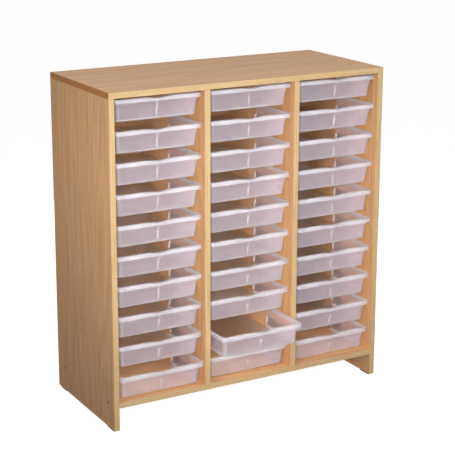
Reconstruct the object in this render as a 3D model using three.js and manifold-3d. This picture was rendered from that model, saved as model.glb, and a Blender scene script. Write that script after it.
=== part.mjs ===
// Classroom tray storage unit: a carcass of beech-faced board with three columns of shallow
// moulded trays that slide on runner strips. Millimetres, +Z up, the front faces -Y.
// The origin lies on the floor, under the middle of the unit with its trays as they stand.

import * as THREE from 'three';
import { mergeVertices } from 'three/addons/utils/BufferGeometryUtils.js';
import Module from 'manifold-3d';

const wasm = await Module();
wasm.setup();

// Layout of the trays, and how far each one that isn't closed is drawn out
const COLUMNS = ['left', 'middle', 'right'];
const ROWS = 10;
const DRAWN_OUT = { middle_tray_09: 90, left_tray_10: 13 };

// Clearance between pieces that butt against or rest on each other
const SEAT_GAP = 0.3;

// Tray: outside sizes over the rim, and the moulded wall
const TRAY_WIDTH = 312;
const TRAY_LENGTH = 427;
const TRAY_HEIGHT = 75;
const TRAY_WALL = 2;

// Rim: a hollow lip that hangs outside the body, with rounded corners
const LIP_HEIGHT = 14;
const LIP_SIDE_REACH = 6.5;
const LIP_END_REACH = 12.5;
const RIM_CORNER_RADIUS = 18;
const CORNER_STEPS = 2;

// Finger scoop: a shallow wave in the middle of the front rim
const SCOOP_WIDTH = 112;
const SCOOP_DEPTH = 4.5;
const SCOOP_STEPS = 4;

// Body: a shoulder below the lip, a slight taper and a broken bottom edge
const BODY_CORNER_RADIUS = 15;
const SHOULDER_DROP = 18;
const SHOULDER_SIDE_DRAW = 3;
const SHOULDER_END_DRAW = 4.5;
const BODY_TAPER = 5;
const BOTTOM_CHAMFER = 7;

// Rib that guides a loose partition, inside the front and back walls
const RIB_WIDTH = 4;
const RIB_PROUD = 1.6;

// Carcass boards and the places of the trays in it
const BOARD = 19;
const BOTTOM_RAISE = 81;
const TRAY_FLOOR_GAP = 8;
const ROW_GAP = 26.5;
const HEAD_GAP = 6.5;
const TRAY_SIDE_CLEARANCE = 3.5;
const TRAY_SETBACK = 8;
const TRAY_REAR_CLEARANCE = 11;

// Back panel, held in grooves in the sides and the top
const BACK_THICKNESS = 6;
const BACK_INSET = 8;
const GROOVE_DEPTH = 6;

// Edge banding
const BAND = 2;

// Runner strips: a level top under the tray's lip, a short nose and a sloping underside
const RUNNER_FRONT_INSET = 30;
const RUNNER_REAR_INSET = 5;
const RUNNER_HEIGHT = 11;
const RUNNER_NOSE = 4;
const RUNNER_TONGUE = 3;
const RUNNER_BODY_CLEARANCE = 1.5;

// Dowels that locate the uprights in the top and bottom panels
const DOWEL_DIAMETER = 8;
const DOWEL_LENGTH = 10;
const DOWEL_INSET = 70;
const DOWEL_SIDES = 6;

// Bolts through the side panels into the ends of the bottom panel
const BOLT_DIAMETER = 6;
const BOLT_LENGTH = 50;
const BOLT_HEAD_DIAMETER = 11;
const BOLT_HEAD_HEIGHT = 3;
const BOLT_INSET = 46;
const BOLT_SIDES = 6;

// Glides under the side panels, each with a pin in the panel's lower edge
const GLIDE_LENGTH = 56;
const GLIDE_HEIGHT = 4;
const GLIDE_END_INSET = 9;
const GLIDE_SIDE_INSET = 1.5;
const GLIDE_PIN_DIAMETER = 4;
const GLIDE_PIN_LENGTH = 14;
const GLIDE_SIDES = 6;

// Sizes that follow from those above
const COLUMN_CLEAR = TRAY_WIDTH + 2 * TRAY_SIDE_CLEARANCE;
const COLUMN_PITCH = COLUMN_CLEAR + BOARD;
const WIDTH = COLUMNS.length * COLUMN_PITCH + BOARD;
const ROW_PITCH = TRAY_HEIGHT + ROW_GAP;
const BOTTOM_TOP = BOTTOM_RAISE + BOARD;
const LOWEST_TRAY = BOTTOM_TOP + TRAY_FLOOR_GAP;
const TOP_UNDERSIDE = LOWEST_TRAY + (ROWS - 1) * ROW_PITCH + TRAY_HEIGHT + HEAD_GAP;
const HEIGHT = TOP_UNDERSIDE + BOARD;
const DEPTH = TRAY_SETBACK + TRAY_LENGTH + TRAY_REAR_CLEARANCE + BACK_THICKNESS + BACK_INSET;
const FURTHEST_OUT = Math.max(TRAY_SETBACK, ...Object.values(DRAWN_OUT));
const FRONT = (FURTHEST_OUT - TRAY_SETBACK - DEPTH) / 2;
const REAR = FRONT + DEPTH;
const BOARD_FRONT = FRONT + BAND + SEAT_GAP;
const BACK_FRONT = REAR - BACK_INSET - BACK_THICKNESS;
const SIDE_FOOT = GLIDE_HEIGHT + SEAT_GAP;
const RUNNER_DEPTH = TRAY_SIDE_CLEARANCE + LIP_SIDE_REACH - RUNNER_BODY_CLEARANCE;

// Colours and finishes
const BEECH = { color: 0xc6a07a, roughness: 0.55, metalness: 0 };
const EDGE = { color: 0xe6c592, roughness: 0.5, metalness: 0 };
const BACK_BOARD = { color: 0xb98f68, roughness: 0.65, metalness: 0 };
const FROSTED = { color: 0xdcd7e2, roughness: 0.4, metalness: 0, transparent: true, opacity: 0.6 };
const BLACK_PLASTIC = { color: 0x1a1a1b, roughness: 0.6, metalness: 0 };
const DARK_STEEL = { color: 0x4a4643, roughness: 0.4, metalness: 0.8 };

const unit = new THREE.Group();

// A closed geometry as a solid that can be joined and cut
function solid(geometry) {
  const bare = geometry.clone();
  bare.deleteAttribute('normal');
  bare.deleteAttribute('uv');
  const merged = mergeVertices(bare, 1e-4);
  return new wasm.Manifold(new wasm.Mesh({
    numProp: 3,
    vertProperties: new Float32Array(merged.attributes.position.array),
    triVerts: new Uint32Array(merged.index.array),
  }));
}

// A joined or cut solid as a geometry again
function geometryOf(shape) {
  const mesh = shape.getMesh();
  const geometry = new THREE.BufferGeometry();
  geometry.setAttribute('position', new THREE.BufferAttribute(new Float32Array(mesh.vertProperties), 3));
  geometry.setIndex(new THREE.BufferAttribute(new Uint32Array(mesh.triVerts), 1));
  geometry.computeVertexNormals();
  return geometry;
}

function addPiece(name, geometry, finish) {
  const piece = new THREE.Mesh(geometry, new THREE.MeshStandardMaterial(finish));
  piece.name = name;
  unit.add(piece);
  return piece;
}

// A square-edged board between two planes in each direction
function board(x0, x1, y0, y1, z0, z1) {
  const blank = new THREE.BoxGeometry(x1 - x0, y1 - y0, z1 - z0);
  return blank.translate((x0 + x1) / 2, (y0 + y1) / 2, (z0 + z1) / 2);
}

// An upright round pin, standing on z
function uprightPin(diameter, length, sides, x, y, z) {
  const pin = new THREE.CylinderGeometry(diameter / 2, diameter / 2, length, sides);
  return pin.rotateX(Math.PI / 2).translate(x, y, z + length / 2);
}

// A level round pin that runs from x towards the right, or towards the left for a negative length
function levelPin(diameter, length, sides, x, y, z) {
  const pin = new THREE.CylinderGeometry(diameter / 2, diameter / 2, Math.abs(length), sides);
  return pin.rotateZ(Math.PI / 2).translate(x + length / 2, y, z);
}

// Tray

// One outline round the tray: the rim's outline drawn in at the sides and the ends
function trayOutline({ side, end, corner, z, scooped }) {
  const reachX = TRAY_WIDTH / 2 - side - corner;
  const reachY = TRAY_LENGTH / 2 - end - corner;
  const around = [];
  const quarters = [[1, -1, -0.5], [1, 1, 0], [-1, 1, 0.5], [-1, -1, 1]];
  for (const [signX, signY, start] of quarters) {
    for (let i = 0; i <= CORNER_STEPS; i += 1) {
      const angle = Math.PI * (start + i / (2 * CORNER_STEPS));
      const x = signX * reachX + corner * Math.cos(angle);
      const y = signY * reachY + corner * Math.sin(angle);
      around.push(new THREE.Vector3(x, y, z));
    }
  }
  const wave = [];
  for (let i = 0; scooped && i <= SCOOP_STEPS; i += 1) {
    const share = i / SCOOP_STEPS - 0.5;
    const dip = SCOOP_DEPTH * (1 + Math.cos(2 * Math.PI * share)) / 2;
    wave.push(new THREE.Vector3(share * SCOOP_WIDTH, -reachY - corner, z - dip));
  }
  return { around, front: [around.at(-1), ...wave, around[0]] };
}

// Outlines from under the floor, up the outside, over the lip and down the inside
function trayOutlines() {
  const lipFoot = TRAY_HEIGHT - LIP_HEIGHT;
  const shoulderFoot = lipFoot - SHOULDER_DROP;
  const neck = { side: LIP_SIDE_REACH, end: LIP_END_REACH, corner: BODY_CORNER_RADIUS };
  const waist = {
    side: neck.side + SHOULDER_SIDE_DRAW,
    end: neck.end + SHOULDER_END_DRAW,
    corner: BODY_CORNER_RADIUS,
  };
  const base = { side: waist.side + BODY_TAPER, end: waist.end + BODY_TAPER, corner: BODY_CORNER_RADIUS };
  const rim = { side: 0, end: 0, corner: RIM_CORNER_RADIUS };
  const drawnIn = ({ side, end, corner }, by) => ({ side: side + by, end: end + by, corner: corner - by });
  return [
    { ...drawnIn(base, BOTTOM_CHAMFER), z: 0 },
    { ...base, z: BOTTOM_CHAMFER },
    { ...waist, z: shoulderFoot },
    { ...neck, z: lipFoot },
    { ...neck, z: TRAY_HEIGHT - TRAY_WALL, scooped: true },
    { ...drawnIn(rim, TRAY_WALL), z: TRAY_HEIGHT - TRAY_WALL, scooped: true },
    { ...drawnIn(rim, TRAY_WALL), z: lipFoot },
    { ...rim, z: lipFoot },
    { ...rim, z: TRAY_HEIGHT, scooped: true },
    { ...drawnIn(neck, TRAY_WALL), z: TRAY_HEIGHT, scooped: true },
    { ...drawnIn(neck, TRAY_WALL), z: lipFoot },
    { ...drawnIn(waist, TRAY_WALL), z: shoulderFoot },
    { ...drawnIn(base, TRAY_WALL), z: BOTTOM_CHAMFER },
    { ...drawnIn(base, BOTTOM_CHAMFER), z: TRAY_WALL },
  ].map(trayOutline);
}

// Faces between two rows of points, stepping along whichever row is behind
function stitch(lower, upper, addFace) {
  let i = 0;
  let j = 0;
  while (i < lower.length - 1 || j < upper.length - 1) {
    const lowerNext = (i + 1) / (lower.length - 1);
    const upperNext = (j + 1) / (upper.length - 1);
    if (lowerNext <= upperNext) {
      addFace(lower[i], lower[i + 1], upper[j]);
      i += 1;
    } else {
      addFace(lower[i], upper[j + 1], upper[j]);
      j += 1;
    }
  }
}

function trayShell() {
  const positions = [];
  const addFace = (...corners) => corners.forEach((p) => positions.push(p.x, p.y, p.z));
  const outlines = trayOutlines();
  for (let i = 0; i + 1 < outlines.length; i += 1) {
    stitch(outlines[i].around, outlines[i + 1].around, addFace);
    stitch(outlines[i].front, outlines[i + 1].front, addFace);
  }
  const under = outlines[0].around;
  const floor = outlines.at(-1).around;
  for (let i = 1; i + 1 < under.length; i += 1) {
    addFace(under[0], under[i + 1], under[i]);
    addFace(floor[0], floor[i], floor[i + 1]);
  }
  const geometry = new THREE.BufferGeometry();
  geometry.setAttribute('position', new THREE.Float32BufferAttribute(positions, 3));
  return geometry;
}

// The partition rib follows the slope of the end wall, between the bottom edge and the shoulder
function partitionRib(sign) {
  const top = TRAY_HEIGHT - LIP_HEIGHT - SHOULDER_DROP;
  const waistWall = TRAY_LENGTH / 2 - LIP_END_REACH - SHOULDER_END_DRAW - TRAY_WALL / 2;
  const baseWall = waistWall - BODY_TAPER;
  const inward = TRAY_WALL / 2 + RIB_PROUD;
  const profile = new THREE.Shape([
    new THREE.Vector2(baseWall, BOTTOM_CHAMFER),
    new THREE.Vector2(waistWall, top),
    new THREE.Vector2(waistWall - inward, top),
    new THREE.Vector2(baseWall - inward, BOTTOM_CHAMFER),
  ]);
  const rib = new THREE.ExtrudeGeometry(profile, { depth: RIB_WIDTH, bevelEnabled: false });
  rib.translate(0, 0, -RIB_WIDTH / 2).rotateX(Math.PI / 2).rotateZ(sign * Math.PI / 2);
  return rib;
}

function addTrays() {
  const tray = geometryOf(solid(trayShell()).add(solid(partitionRib(1))).add(solid(partitionRib(-1))));
  COLUMNS.forEach((column, columnIndex) => {
    const x = (columnIndex - (COLUMNS.length - 1) / 2) * COLUMN_PITCH;
    for (let row = 1; row <= ROWS; row += 1) {
      const name = `${column}_tray_${String(row).padStart(2, '0')}`;
      const drawn = DRAWN_OUT[name] ?? 0;
      const piece = addPiece(name, tray, FROSTED);
      const middle = FRONT + TRAY_SETBACK + TRAY_LENGTH / 2;
      piece.position.set(x, middle - drawn, LOWEST_TRAY + (ROWS - row) * ROW_PITCH);
    }
  });
}

// Uprights

// One runner strip on the face at x, which looks towards the right for sign 1 and the left for -1
function runner(x, sign, top) {
  const profile = new THREE.Shape([
    new THREE.Vector2(x - sign * RUNNER_TONGUE, top),
    new THREE.Vector2(x + sign * RUNNER_DEPTH, top),
    new THREE.Vector2(x + sign * RUNNER_DEPTH, top - RUNNER_NOSE),
    new THREE.Vector2(x, top - RUNNER_HEIGHT),
    new THREE.Vector2(x - sign * RUNNER_TONGUE, top - RUNNER_HEIGHT),
  ]);
  const start = FRONT + RUNNER_FRONT_INSET;
  const length = FRONT + TRAY_SETBACK + TRAY_LENGTH - RUNNER_REAR_INSET - start;
  const strip = new THREE.ExtrudeGeometry(profile, { depth: length, bevelEnabled: false });
  return strip.rotateX(Math.PI / 2).translate(0, start + length, 0);
}

function runners(x, sign) {
  const strips = [];
  for (let row = 1; row <= ROWS; row += 1) {
    const lipFoot = LOWEST_TRAY + (ROWS - row) * ROW_PITCH + TRAY_HEIGHT - LIP_HEIGHT;
    strips.push(solid(runner(x, sign, lipFoot - SEAT_GAP)));
  }
  return strips;
}

const dowelRows = [FRONT + DOWEL_INSET, BACK_FRONT - DOWEL_INSET];
const boltRows = [FRONT + BOLT_INSET, BACK_FRONT - BOLT_INSET];

// Dowels glued into an upright's end, standing half in the upright and half out of it
function dowels(x, z) {
  return dowelRows.map((y) => solid(
    uprightPin(DOWEL_DIAMETER, 2 * DOWEL_LENGTH, DOWEL_SIDES, x, y, z - DOWEL_LENGTH),
  ));
}

// Blind holes for the dowels, in a face at z
function dowelHoles(x, z) {
  const diameter = DOWEL_DIAMETER + 2 * SEAT_GAP;
  const depth = DOWEL_LENGTH + SEAT_GAP;
  return dowelRows.map((y) => solid(uprightPin(diameter, 2 * depth, DOWEL_SIDES, x, y, z - depth)));
}

const joined = (first, others) => others.reduce((sum, other) => sum.add(other), first);
const cut = (first, others) => others.reduce((rest, other) => rest.subtract(other), first);

const glideRows = [
  FRONT + GLIDE_END_INSET + GLIDE_LENGTH / 2,
  REAR - GLIDE_END_INSET - GLIDE_LENGTH / 2,
];

function addSide(name, sign) {
  const outer = sign * WIDTH / 2;
  const inner = sign * (WIDTH / 2 - BOARD);
  const middle = (outer + inner) / 2;
  const top = TOP_UNDERSIDE - SEAT_GAP;
  const [x0, x1] = [outer, inner].sort((a, b) => a - b);
  const panel = solid(board(x0, x1, BOARD_FRONT, REAR, SIDE_FOOT, top));
  const groove = board(
    inner - GROOVE_DEPTH,
    inner + GROOVE_DEPTH,
    BACK_FRONT - SEAT_GAP,
    BACK_FRONT + BACK_THICKNESS + SEAT_GAP,
    BOTTOM_RAISE - SEAT_GAP,
    top + SEAT_GAP,
  );
  const pinHoles = glideRows.map((y) => uprightPin(
    GLIDE_PIN_DIAMETER + 2 * SEAT_GAP,
    GLIDE_HEIGHT + GLIDE_PIN_LENGTH + SEAT_GAP,
    GLIDE_SIDES,
    middle,
    y,
    0,
  ));
  const boltHoles = boltRows.flatMap((y) => [
    boltShank(outer, -sign, y, 2 * SEAT_GAP),
    boltHead(outer, -sign, y, 2 * SEAT_GAP),
  ]);
  const fitted = joined(panel, [...runners(inner, -sign), ...dowels(middle, top)]);
  const finished = cut(fitted, [groove, ...pinHoles, ...boltHoles].map(solid));
  addPiece(`${name}_side_panel`, geometryOf(finished), BEECH);
  addPiece(`${name}_side_edge_band`, board(x0, x1, FRONT, FRONT + BAND, SIDE_FOOT, top), EDGE);
}

function addDivider(name, x) {
  const top = TOP_UNDERSIDE - SEAT_GAP;
  const foot = BOTTOM_TOP + SEAT_GAP;
  const [left, right] = [x - BOARD / 2, x + BOARD / 2];
  const panel = solid(board(left, right, BOARD_FRONT, BACK_FRONT - SEAT_GAP, foot, top));
  const strips = [...runners(left, -1), ...runners(right, 1)];
  const finished = joined(panel, [...strips, ...dowels(x, top), ...dowels(x, foot)]);
  addPiece(`${name}_divider_panel`, geometryOf(finished), BEECH);
  addPiece(`${name}_divider_edge_band`, board(left, right, FRONT, FRONT + BAND, foot, top), EDGE);
}

// Top, bottom and back

const dividerPlaces = { left: -COLUMN_PITCH / 2, right: COLUMN_PITCH / 2 };
const uprightPlaces = [
  -(WIDTH - BOARD) / 2,
  ...Object.values(dividerPlaces),
  (WIDTH - BOARD) / 2,
];

function addTop() {
  const coreReach = WIDTH / 2 - BAND - SEAT_GAP;
  const core = solid(board(-coreReach, coreReach, BOARD_FRONT, REAR, TOP_UNDERSIDE, HEIGHT));
  const grooveReach = WIDTH / 2 - BOARD + GROOVE_DEPTH;
  const groove = board(
    -grooveReach,
    grooveReach,
    BACK_FRONT - SEAT_GAP,
    BACK_FRONT + BACK_THICKNESS + SEAT_GAP,
    TOP_UNDERSIDE - GROOVE_DEPTH,
    TOP_UNDERSIDE + GROOVE_DEPTH,
  );
  const holes = uprightPlaces.flatMap((x) => dowelHoles(x, TOP_UNDERSIDE));
  addPiece('top_panel', geometryOf(cut(core, [solid(groove), ...holes])), BEECH);
  const frontBand = board(-WIDTH / 2, WIDTH / 2, FRONT, FRONT + BAND, TOP_UNDERSIDE, HEIGHT);
  addPiece('top_front_edge_band', frontBand, EDGE);
  const leftBand = board(-WIDTH / 2, BAND - WIDTH / 2, BOARD_FRONT, REAR, TOP_UNDERSIDE, HEIGHT);
  addPiece('top_left_edge_band', leftBand, EDGE);
  const rightBand = board(WIDTH / 2 - BAND, WIDTH / 2, BOARD_FRONT, REAR, TOP_UNDERSIDE, HEIGHT);
  addPiece('top_right_edge_band', rightBand, EDGE);
}

function addBottom() {
  const reach = WIDTH / 2 - BOARD - SEAT_GAP;
  const core = solid(board(-reach, reach, BOARD_FRONT, BACK_FRONT - SEAT_GAP, BOTTOM_RAISE, BOTTOM_TOP));
  const dowelled = Object.values(dividerPlaces).flatMap((x) => dowelHoles(x, BOTTOM_TOP));
  const bolted = [-1, 1].flatMap((sign) => boltRows.map(
    (y) => solid(boltShank(sign * WIDTH / 2, -sign, y, 2 * SEAT_GAP)),
  ));
  addPiece('bottom_panel', geometryOf(cut(core, [...dowelled, ...bolted])), BEECH);
  const band = board(-reach, reach, FRONT, FRONT + BAND, BOTTOM_RAISE, BOTTOM_TOP);
  addPiece('bottom_edge_band', band, EDGE);
}

function addBack() {
  const reach = WIDTH / 2 - BOARD + GROOVE_DEPTH - SEAT_GAP;
  const top = TOP_UNDERSIDE + GROOVE_DEPTH - SEAT_GAP;
  const panel = board(-reach, reach, BACK_FRONT, BACK_FRONT + BACK_THICKNESS, BOTTOM_RAISE, top);
  addPiece('back_panel', panel, BACK_BOARD);
}

// Fasteners and feet

const boltHeight = BOTTOM_RAISE + BOARD / 2;

function boltShank(x, sign, y, spare) {
  const length = sign * (BOLT_LENGTH + spare);
  return levelPin(BOLT_DIAMETER + spare, length, BOLT_SIDES, x, y, boltHeight);
}

function boltHead(x, sign, y, spare) {
  const length = sign * (BOLT_HEAD_HEIGHT + spare / 2);
  return levelPin(BOLT_HEAD_DIAMETER + spare, length, BOLT_SIDES, x, y, boltHeight);
}

function addBolts(name, sign) {
  ['front', 'rear'].forEach((place, i) => {
    const outer = sign * WIDTH / 2;
    const shank = solid(boltShank(outer, -sign, boltRows[i], 0));
    const bolt = shank.add(solid(boltHead(outer, -sign, boltRows[i], 0)));
    addPiece(`${name}_${place}_bolt`, geometryOf(bolt), DARK_STEEL);
  });
}

function addGlides(name, sign) {
  const radius = BOARD / 2 - GLIDE_SIDE_INSET;
  const reach = GLIDE_LENGTH / 2 - radius;
  const outline = new THREE.Shape()
    .absarc(0, reach, radius, 0, Math.PI)
    .absarc(0, -reach, radius, Math.PI, 2 * Math.PI);
  const depth = GLIDE_HEIGHT;
  const pad = new THREE.ExtrudeGeometry(outline, { depth, bevelEnabled: false, curveSegments: 3 });
  const pinLength = GLIDE_HEIGHT + GLIDE_PIN_LENGTH;
  const pin = uprightPin(GLIDE_PIN_DIAMETER, pinLength, GLIDE_SIDES, 0, 0, 0);
  const glide = geometryOf(solid(pad).add(solid(pin)));
  ['front', 'rear'].forEach((place, i) => {
    const piece = addPiece(`${place}_${name}_glide`, glide, BLACK_PLASTIC);
    piece.position.set(sign * (WIDTH - BOARD) / 2, glideRows[i], 0);
  });
}

addTop();
addBottom();
addBack();
addSide('left', -1);
addSide('right', 1);
for (const [name, x] of Object.entries(dividerPlaces)) {
  addDivider(name, x);
}
addBolts('left', -1);
addBolts('right', 1);
addGlides('left', -1);
addGlides('right', 1);
addTrays();

export default unit;
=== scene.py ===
"""Dresses a classroom tray storage unit: beech-faced boards with thirty frosted trays on runner strips."""

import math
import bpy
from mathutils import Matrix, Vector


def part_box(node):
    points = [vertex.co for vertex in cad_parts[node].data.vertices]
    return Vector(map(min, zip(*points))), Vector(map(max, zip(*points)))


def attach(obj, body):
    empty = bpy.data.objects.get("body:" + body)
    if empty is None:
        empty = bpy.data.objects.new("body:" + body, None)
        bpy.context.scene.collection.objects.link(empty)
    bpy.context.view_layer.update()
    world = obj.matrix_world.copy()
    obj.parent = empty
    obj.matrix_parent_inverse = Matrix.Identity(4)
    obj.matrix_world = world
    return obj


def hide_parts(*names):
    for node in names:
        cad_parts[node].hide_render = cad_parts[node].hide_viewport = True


bl_info = {
    "name": "Classroom Tray Unit",
    "version": (1, 0, 0),
    "blender": (4, 5, 0),
    "location": "3D View > Sidebar > Tray Unit",
    "description": "Builds the boards, trays, fittings and studio of a classroom tray storage unit",
    "category": "Object",
}

import bmesh
import bpy
from bpy.props import FloatProperty, FloatVectorProperty, PointerProperty
from mathutils import Vector

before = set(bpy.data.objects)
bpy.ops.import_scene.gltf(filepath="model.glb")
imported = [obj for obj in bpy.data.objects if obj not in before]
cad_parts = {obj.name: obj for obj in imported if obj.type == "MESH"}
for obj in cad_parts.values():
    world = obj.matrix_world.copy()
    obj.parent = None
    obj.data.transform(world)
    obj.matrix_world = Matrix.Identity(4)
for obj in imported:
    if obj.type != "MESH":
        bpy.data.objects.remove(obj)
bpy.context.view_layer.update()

MM = 0.001
CABINET = "cabinet"
COLUMNS = ("left", "middle", "right")
ROWS = 10
TRAYS = [f"{column}_tray_{row:02d}" for column in COLUMNS for row in range(1, ROWS + 1)]
SENSOR_MM = 36.0

# Clearance between pieces that butt against or rest on each other
SEAT_GAP = 0.3 * MM

# Points closer than this become one
WELD = 0.001 * MM

# Number of points in a ring about a bolt's axis
BOLT_SIDES = 24

# Values of a station in a tray's wall: its inset at the sides, its height and its share of the fins
INSET, HEIGHT, RIB = 0, 3, 5

# Sockets of the Mix node: its share, then those for numbers and those for colours
MIX_SHARE = 0
NUMBER_A, NUMBER_B, NUMBER = 2, 3, 0
COLOUR_A, COLOUR_B, COLOUR = 6, 7, 2


def linear(hex_text):
    """An sRGB hex colour as linear red, green, blue and alpha."""
    shares = [int(hex_text[i : i + 2], 16) / 255 for i in (1, 3, 5)]
    return (*[s / 12.92 if s <= 0.04045 else ((s + 0.055) / 1.055) ** 2.4 for s in shares], 1.0)


def size(name, description, millimetres):
    """A length that the sidebar shows, written here in millimetres."""
    return FloatProperty(
        name=name, description=description, default=millimetres * MM, min=0.0, precision=4, unit="LENGTH"
    )


def colour(name, description, hex_text):
    """A colour that the sidebar shows, written here as sRGB hex."""
    return FloatVectorProperty(
        name=name,
        description=description,
        default=linear(hex_text),
        size=4,
        min=0.0,
        max=1.0,
        subtype="COLOR",
    )


def place(name, description, metres):
    """A place that the sidebar shows, in metres."""
    return FloatVectorProperty(name=name, description=description, default=metres, subtype="TRANSLATION")


def power(name, description, watts):
    """A lamp's power that the sidebar shows, in watts."""
    return FloatProperty(name=name, description=description, default=watts, min=0.0, unit="POWER")


def angle(name, description, degrees):
    """An angle that the sidebar shows, written here in degrees."""
    return FloatProperty(name=name, description=description, default=math.radians(degrees), subtype="ANGLE")


def share(name, description, amount):
    """A share from nothing to all that the sidebar shows."""
    return FloatProperty(
        name=name, description=description, default=amount, min=0.0, max=1.0, subtype="FACTOR"
    )


WHITE = linear("#FFFFFF")


class CarcassSettings(bpy.types.PropertyGroup):
    """Sizes and colours of the boards, bands and runner strips"""

    board_radius: size("Board edge", "Rounding of a board's bare edges", 0.5)
    band_radius: size("Band edge", "Rounding of the edge bands after they were scraped", 0.7)
    runner_height: size("Runner height", "Height of a runner strip where it meets the board", 11)
    runner_depth: size("Runner depth", "How far a runner strip stands out from the board", 8.5)
    runner_nose: size("Runner nose", "Height of a runner strip's front edge", 4)
    runner_radius: size("Runner edge", "Rounding of the runner strips", 0.8)
    runner_setback: size("Runner setback", "From the front of the carcass to the runner strips", 30)
    runner_rear_gap: size("Runner rear gap", "From the strips' end to the back of a closed tray", 5)
    beech_pale: colour("Beech, pale", "Pale bands of the printed beech", "#F0BD8A")
    beech_dark: colour("Beech, dark", "Dark bands of the printed beech", "#CE9763")
    beech_fleck: colour("Beech, fleck", "Flecks of the printed beech", "#B37D51")
    back_pale: colour("Back, pale", "Pale lines of the back panel's printed beech", "#C0946B")
    back_dark: colour("Back, dark", "Dark lines of the back panel's printed beech", "#A67B52")
    back_fleck: colour("Back, fleck", "Flecks of the back panel's printed beech", "#8F6844")
    level_shine: share("Level shine", "Gloss of the top and the bottom, rubbed by use", 0.85)
    upright_shine: share("Upright shine", "Gloss of the upright boards and the back", 0.3)
    band_shine: share("Band shine", "Gloss of the edge bands", 0.15)
    edge_pale: colour("Edge, pale", "Pale streaks of the edge bands", "#EACB99")
    edge_dark: colour("Edge, dark", "Dark streaks of the edge bands", "#DCB683")
    # The bands on the ends of the top are coloured darker and more orange than the front bands: painted
    # shade for the shade that the top's ends lie in
    shaded_end_pale: colour("End band, pale", "Pale streaks of the bands on the ends of the top", "#C08040")
    shaded_end_dark: colour("End band, dark", "Dark streaks of the bands on the ends of the top", "#AE7034")
    strip_pale: colour("Runner, pale", "Pale bands of the planed runner strips", "#D9B488")
    strip_dark: colour("Runner, dark", "Dark bands of the planed runner strips", "#C1976A")


class TraySettings(bpy.types.PropertyGroup):
    """Sizes and colours of the moulded trays"""

    wall: size("Wall", "Thickness of the moulded wall", 2)
    lip_height: size("Lip height", "Height of the lip that hangs outside the rim", 14)
    lip_side_reach: size("Lip reach, sides", "How far the lip stands out at the sides", 6.5)
    lip_end_reach: size("Lip reach, ends", "How far the lip stands out at the front and the back", 12.5)
    rim_corner: size("Rim corner", "Radius of the rim's corners, seen from above", 18)
    body_corner: size("Body corner", "Radius of the body's corners, seen from above", 15)
    shoulder_drop: size("Shoulder drop", "Height of the slope below the lip", 18)
    shoulder_side_draw: size("Shoulder, sides", "How far the slope draws in at the sides", 3)
    shoulder_end_draw: size("Shoulder, ends", "How far the slope draws in at the front and the back", 4.5)
    taper: size("Taper", "How far the body draws in from the shoulder to the floor", 5)
    floor_radius: size("Floor radius", "Rounding between the walls and the floor", 6)
    scoop_width: size("Scoop width", "Width of the finger scoop in the front rim", 112)
    scoop_depth: size("Scoop depth", "Depth of the finger scoop in the front rim", 4.5)
    rib_width: size("Rib width", "Width of the pair of fins in the middle of each wall", 7)
    rib_proud: size("Rib height", "How far the fins stand out of the wall", 2.4)
    lip_clearness: share("Lip clearness", "Light straight through a face of the lip", 0.72)
    fin_clearness: share("Fin clearness", "Light straight through a face of the fins", 0.55)
    turn_clearness: share("Turn clearness", "Light straight through a face where walls meet the floor", 0.6)
    bend_clearness: share("Bend clearness", "Light straight through a face of the corners", 0.76)
    front_clearness: share("Front clearness", "Light straight through a face of the front wall", 0.84)
    side_clearness: share("Side clearness", "Light straight through a face of the sides' front half", 0.86)
    inner_clearness: share("Inner clearness", "Light straight through a face of the rest of the tray", 0.975)
    lip_pale: colour("Lip, pale", "Pale clouds of the plastic of the lip and the corners", "#EFEDF0")
    lip_deep: colour("Lip, deep", "Deep clouds of the plastic of the lip and the corners", "#E6E3E7")
    wall_pale: colour("Wall, pale", "Pale clouds of the plastic of the front and the sides", "#F4EDF6")
    wall_deep: colour("Wall, deep", "Deep clouds of the plastic of the front and the sides", "#EAE2EC")
    inner_pale: colour("Inner, pale", "Pale clouds of the plastic inside the tray", "#FAF4EE")
    inner_deep: colour("Inner, deep", "Deep clouds of the plastic inside the tray", "#F3ECE4")


class FittingSettings(bpy.types.PropertyGroup):
    """Sizes and colours of the bolts and glides"""

    head_diameter: size("Bolt head", "Diameter of a bolt's sunk head", 11)
    head_height: size("Bolt head height", "Height of a bolt's sunk head", 3)
    shank_diameter: size("Bolt shank", "Diameter of a bolt's shank", 6)
    socket_width: size("Bolt socket", "Width across the flats of a bolt's hex socket", 4)
    socket_depth: size("Bolt socket depth", "Depth of a bolt's hex socket", 2)
    glide_height: size("Glide height", "Thickness of a glide under its side panel", 4)
    glide_radius: size("Glide edge", "Rounding of a glide's lower edge", 0.4)
    pin_diameter: size("Glide pin", "Diameter of the pin that holds a glide", 4)
    steel: colour("Bolt steel", "Colour of the blackened bolts", "#5B5651")
    steel_oiled: colour("Bolt oil", "Colour of the bolts where their oil lies thick", "#3E3A37")
    plastic: colour("Glide plastic", "Colour of the glides", "#080808")
    plastic_scuffed: colour("Glide scuffs", "Colour of the glides where they are scuffed", "#1E1E1F")


class StageSettings(bpy.types.PropertyGroup):
    """Camera, lamps and floor"""

    camera_place: place("Camera place", "Where the camera stands", (-2.2324, -3.8985, 1.8612))
    camera_azimuth: angle("Camera azimuth", "Turn of the camera about the upright axis", -29.184)
    camera_elevation: angle("Camera elevation", "How far the camera looks down", 14.597)
    camera_lens: FloatProperty(
        name="Camera lens", description="Focal length on a 36 mm sensor", default=107.1, unit="CAMERA"
    )
    camera_shift: FloatVectorProperty(
        name="Camera shift", description="Lens shift that frames the unit", default=(0.038, -0.07), size=2
    )
    floor_radius: size("Floor radius", "Radius of the studio floor", 40000)
    floor_colour: colour("Floor", "Colour of the floor in the light that it throws back", "#565351")
    floor_seen: colour("Floor, seen", "Colour of the floor to the eye, under its glow", "#A0A0A0")
    floor_glow: share("Floor glow", "How much the floor glows to the eye", 0.94)
    sky_strength: FloatProperty(name="Sky", description="Strength of the even light all round", default=0.14)


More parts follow.
